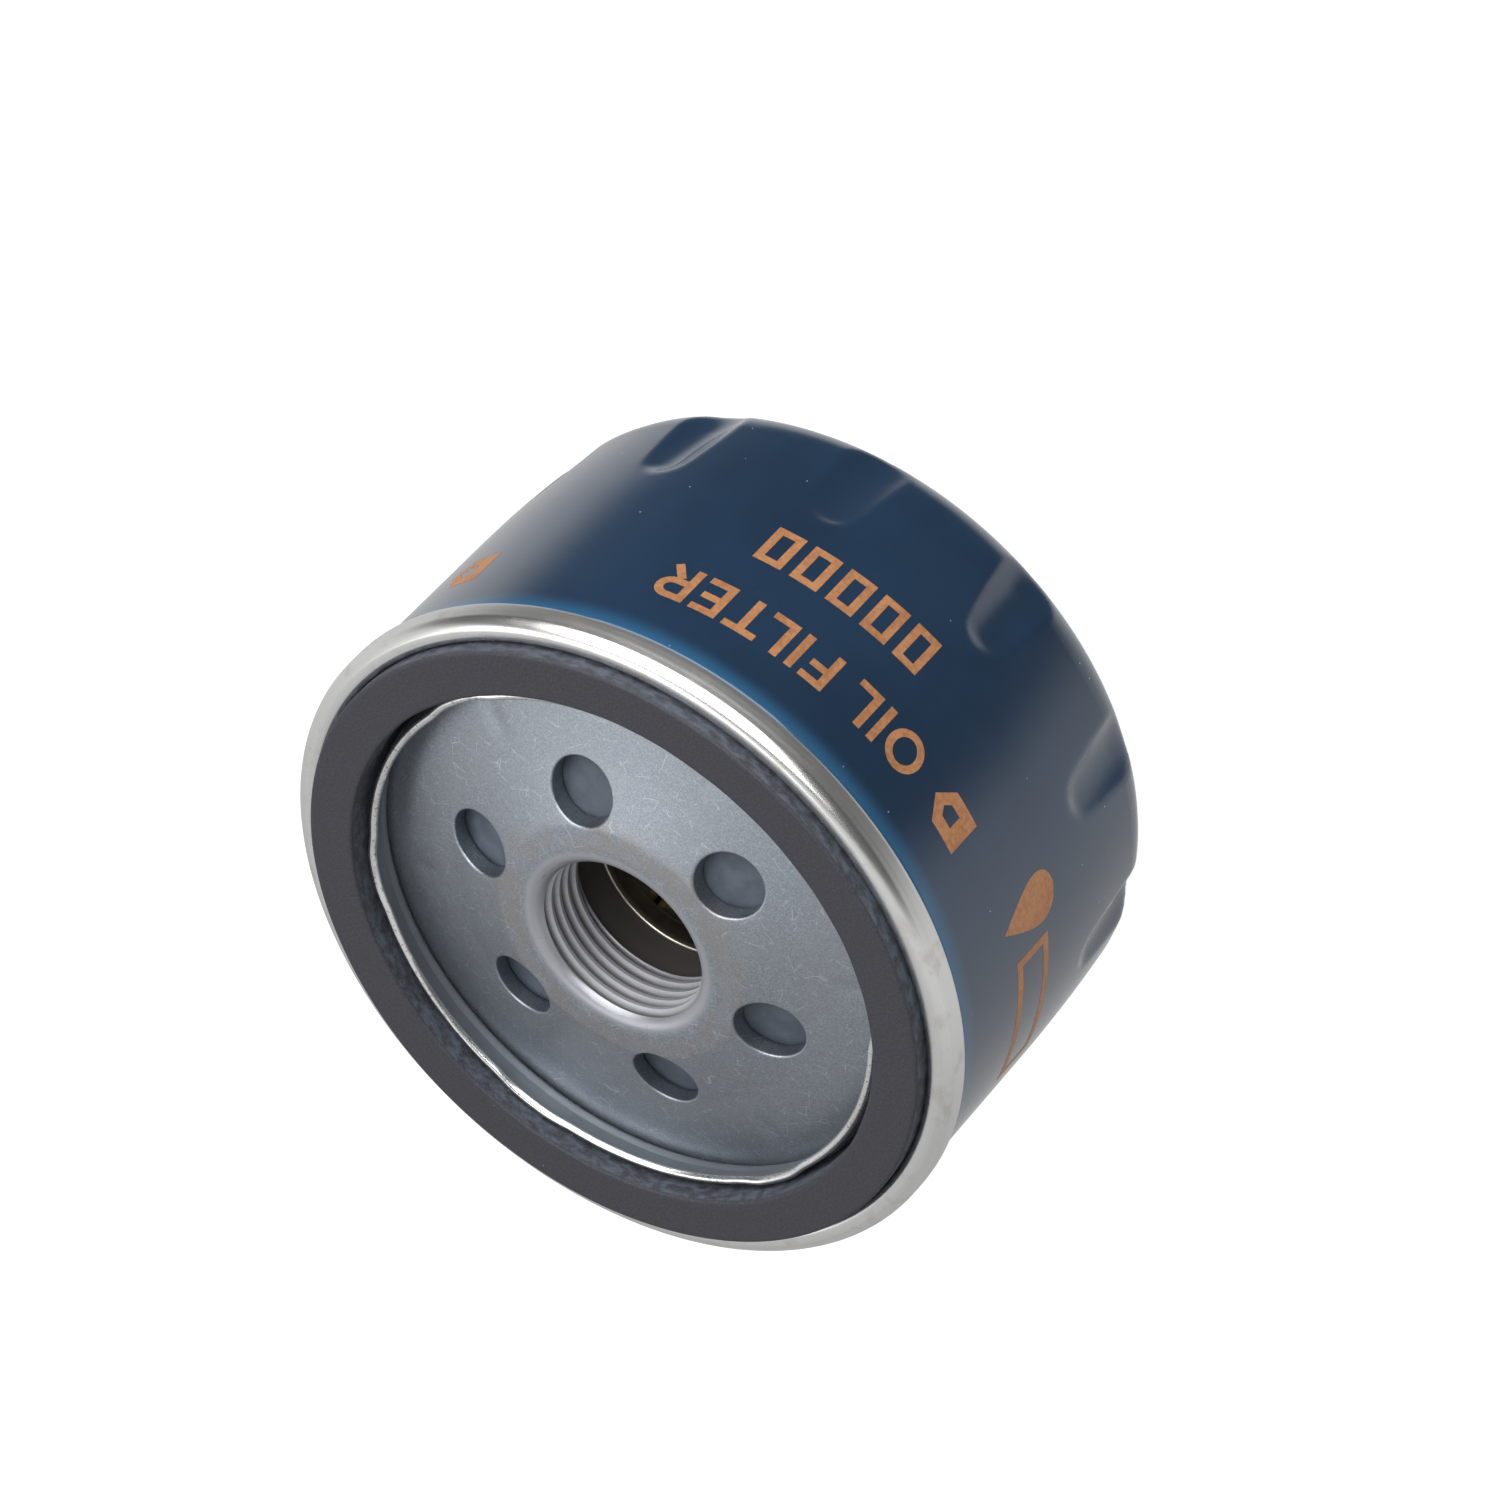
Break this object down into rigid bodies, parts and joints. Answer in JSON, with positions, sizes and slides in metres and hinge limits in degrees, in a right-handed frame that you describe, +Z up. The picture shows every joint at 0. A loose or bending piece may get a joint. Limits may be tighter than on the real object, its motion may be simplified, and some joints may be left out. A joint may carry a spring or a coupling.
{
  "type": "oil filter",
  "caption": "Short spin-on oil filter canister with a threaded mouth, ring gasket, fluted dome, pleated element, anti-drain valve and sprung bypass valve.",
  "frame": {"origin": "middle of the dome's flat pad, on the surface that the filter stands on", "axes": "+Z up the thread's axis, out of the mouth; the inlet holes start 16.5 degrees from +X"},
  "size_m": [0.0775, 0.0774, 0.05],
  "materials": {
    "can": "gloss navy enamel",
    "seam_lid": "bright tinplate",
    "seam_compound": "matt compound",
    "base_plate": "dull oiled steel",
    "sealing_gasket": "matt, dusted with talc",
    "anti_drain_valve": "matt grey-blue",
    "upper_end_cap": "tinplate",
    "upper_potting": "cured adhesive",
    "pleated_media": "resin-treated paper",
    "media_seam_clip": "tinplate",
    "centre_tube": "galvanised steel",
    "lower_potting": "cured adhesive",
    "lower_end_cap": "tinplate",
    "bypass_valve_body": "zinc and yellow passivate",
    "bypass_seal": "matt",
    "bypass_poppet": "zinc plate",
    "bypass_spring": "spring steel",
    "bypass_retainer": "zinc plate",
    "element_spring": "spring steel"
  },
  "bodies": {
    "shell": {"can": "can", "seam_lid": "seam_lid", "seam_compound": "seam_compound", "base_plate": "base_plate", "sealing_gasket": "sealing_gasket", "element_spring": "element_spring"},
    "element": {"upper_end_cap": "upper_end_cap", "upper_potting": "upper_potting", "pleated_media": "pleated_media", "media_seam_clip": "media_seam_clip", "centre_tube": "centre_tube", "lower_potting": "lower_potting", "lower_end_cap": "lower_end_cap", "bypass_valve_body": "bypass_valve_body", "bypass_retainer": "bypass_retainer", "bypass_spring": "bypass_spring"},
    "drain_flap": {"anti_drain_valve": "anti_drain_valve"},
    "poppet": {"bypass_poppet": "bypass_poppet", "bypass_seal": "bypass_seal"}
  },
  "joints": [
    {"name": "element_float", "type": "slide", "parent": "shell", "child": "element", "axis": [0, 0, -1], "range_m": [0, 0.001], "stiffness_N_per_m": 10000, "springref_m": -0.004, "deforming": ["element_spring"]},
    {"name": "bypass_lift", "type": "slide", "parent": "element", "child": "poppet", "axis": [0, 0, 1], "range_m": [0, 0.0025], "stiffness_N_per_m": 3000, "springref_m": -0.005, "deforming": ["bypass_spring"]},
    {"name": "drain_flap_open", "type": "slide", "parent": "shell", "child": "drain_flap", "axis": [0, 0, -1], "range_m": [0, 0.0012], "stiffness_N_per_m": 500, "springref_m": -0.0005}
  ]
}
